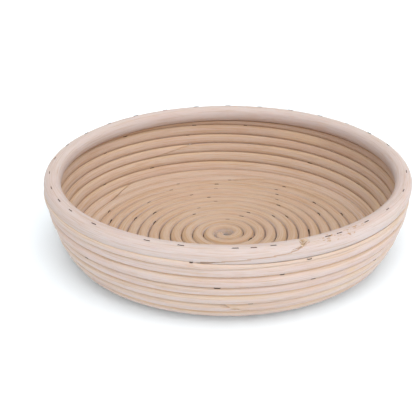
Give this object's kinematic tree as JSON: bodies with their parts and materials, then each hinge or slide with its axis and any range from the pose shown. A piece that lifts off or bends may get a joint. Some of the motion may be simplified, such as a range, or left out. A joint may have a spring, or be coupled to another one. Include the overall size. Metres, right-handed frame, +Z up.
{
  "type": "banneton basket",
  "caption": "Round coiled cane proofing basket for bread dough, with sloping sides, a flat spiral floor and a thick stapled rim hoop.",
  "frame": {"origin": "centre of the basket's footprint, on the surface it stands on", "axes": "+Z up through the middle of the bowl; the front, with the slanting joint of the rim, faces -Y; +X is to the right seen from the front"},
  "size_m": [0.2798, 0.2798, 0.0658],
  "materials": {
    "rim_cane": "raw, smooth peeled cane, matt",
    "wall_cane": "raw peeled cane, matt, darker in the grooves",
    "floor_cane": "raw peeled cane, matt",
    "staple_wire": "dull, darkened wire"
  },
  "bodies": {
    "root": {"rim_hoop": "rim_cane", "wall_cane_top": "wall_cane", "wall_cane_middle": "wall_cane", "wall_cane_lower": "wall_cane", "wall_cane_foot": "wall_cane", "floor_cane": "floor_cane", "groove_strip": "wall_cane", "rim_staple_01": "staple_wire", "rim_staple_02": "staple_wire", "rim_staple_03": "staple_wire", "rim_staple_04": "staple_wire", "rim_staple_05": "staple_wire", "rim_staple_06": "staple_wire", "rim_staple_07": "staple_wire", "rim_staple_08": "staple_wire", "rim_staple_09": "staple_wire", "rim_staple_10": "staple_wire", "rim_staple_11": "staple_wire", "rim_staple_12": "staple_wire", "rim_staple_13": "staple_wire", "rim_staple_14": "staple_wire", "rim_staple_15": "staple_wire", "rim_staple_16": "staple_wire", "rim_staple_17": "staple_wire", "rim_staple_18": "staple_wire", "rim_staple_19": "staple_wire", "rim_staple_20": "staple_wire", "rim_staple_21": "staple_wire", "rim_staple_22": "staple_wire", "rim_staple_23": "staple_wire", "rim_staple_24": "staple_wire", "rim_staple_25": "staple_wire", "rim_staple_26": "staple_wire", "rim_staple_27": "staple_wire", "rim_staple_28": "staple_wire", "rim_staple_29": "staple_wire", "rim_staple_30": "staple_wire"}
  },
  "joints": []
}
